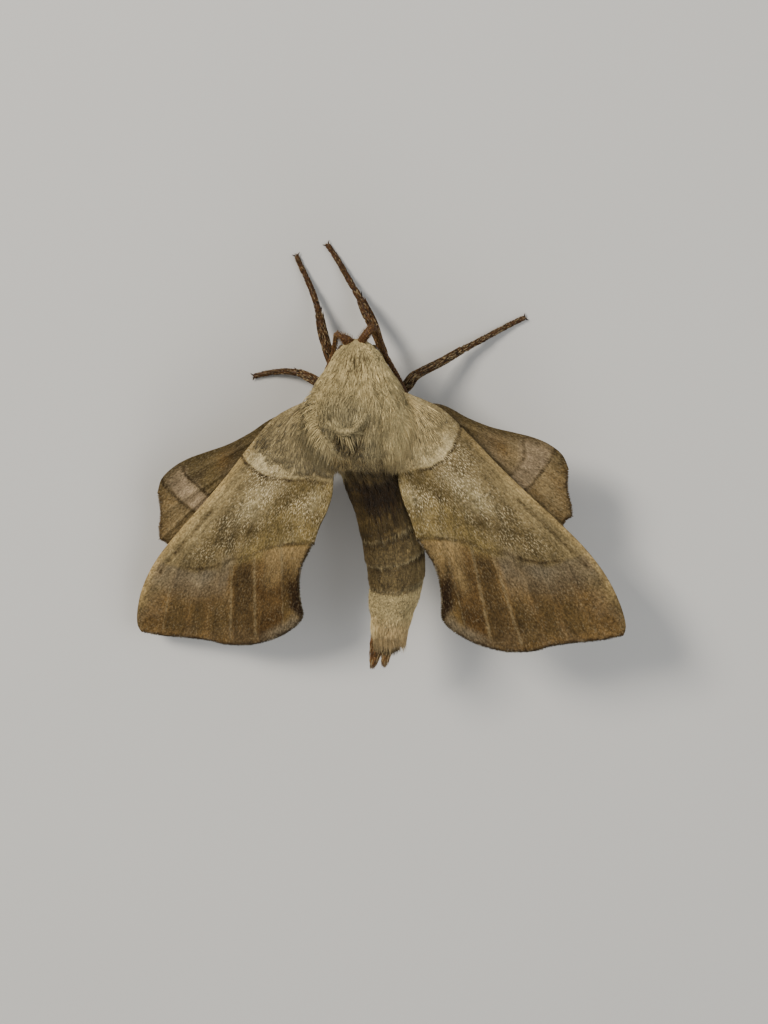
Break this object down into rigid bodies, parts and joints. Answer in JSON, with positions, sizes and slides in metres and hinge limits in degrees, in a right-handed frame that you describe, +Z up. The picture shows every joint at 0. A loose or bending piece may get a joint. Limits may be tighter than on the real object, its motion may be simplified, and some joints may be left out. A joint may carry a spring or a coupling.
{
  "type": "walnut sphinx moth",
  "caption": "Life-size resting hawk moth with scalloped forewings half spread over its hindwings, furry thorax, slender tufted abdomen and legs reaching forward.",
  "frame": {"origin": "middle of the footprint of the whole animal, on the ground that the six feet stand on", "axes": "+Z up from the ground, -Y towards the head, +X towards the moth's own left"},
  "size_m": [0.046, 0.0387, 0.0128],
  "materials": {
    "fur": "soft pale tan scale fur",
    "abdomen": "short olive-tan scale fur",
    "tuft": "rusty hair-scales",
    "forewing": "dry scaled membrane, tan with olive and rust shading",
    "hindwing": "dry scaled membrane, pinkish brown",
    "leg": "scaled, red-brown",
    "antenna": "finely ridged, rust brown",
    "eye": "glossy dark compound eye"
  },
  "bodies": {
    "root": {"head": "fur", "palp_left": "fur", "palp_right": "fur", "eye_left": "eye", "eye_right": "eye", "antenna_left": "antenna", "antenna_right": "antenna", "thorax": "fur", "abdomen": "abdomen", "tail_tuft": "tuft", "forewing_left": "forewing", "forewing_right": "forewing", "hindwing_left": "hindwing", "hindwing_right": "hindwing", "foreleg_left": "leg", "foreleg_right": "leg", "midleg_left": "leg", "midleg_right": "leg", "hindleg_left": "leg", "hindleg_right": "leg"}
  },
  "joints": []
}
